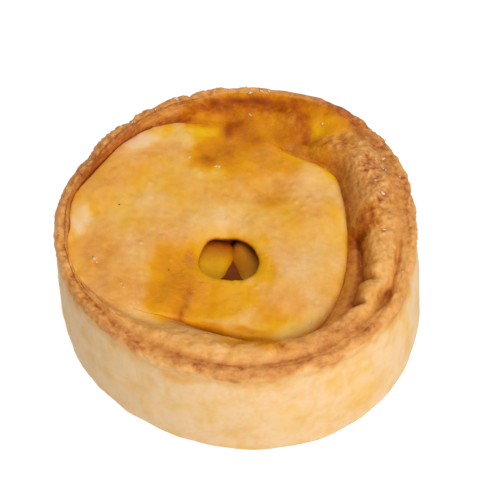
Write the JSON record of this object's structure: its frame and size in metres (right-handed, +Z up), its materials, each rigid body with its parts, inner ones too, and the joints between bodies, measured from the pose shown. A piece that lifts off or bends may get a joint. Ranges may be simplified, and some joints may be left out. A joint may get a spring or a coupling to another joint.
{
  "type": "chicken curry pie",
  "caption": "Round hand-held pie with a straight hot-water crust case, a rolled rim, a sunken lid with a steam hole, and curried chicken showing in the hole.",
  "frame": {"origin": "middle of the pie's underside, on the surface it stands on", "axes": "+Z up through the lid; +X to the right and -Y towards the viewer of the pictured side"},
  "size_m": [0.0944, 0.0943, 0.032],
  "materials": {
    "crust": "baked hot-water pastry, pale on the wall and browned on the rim",
    "lid_crust": "baked pastry lid, golden, stained with curry sauce",
    "curry": "dark glossy curry sauce",
    "chicken": "diced chicken coated in yellow curry sauce"
  },
  "bodies": {
    "root": {"case": "crust", "lid": "lid_crust", "filling": "curry", "chunk_left": "chicken", "chunk_right": "chicken"}
  },
  "joints": []
}
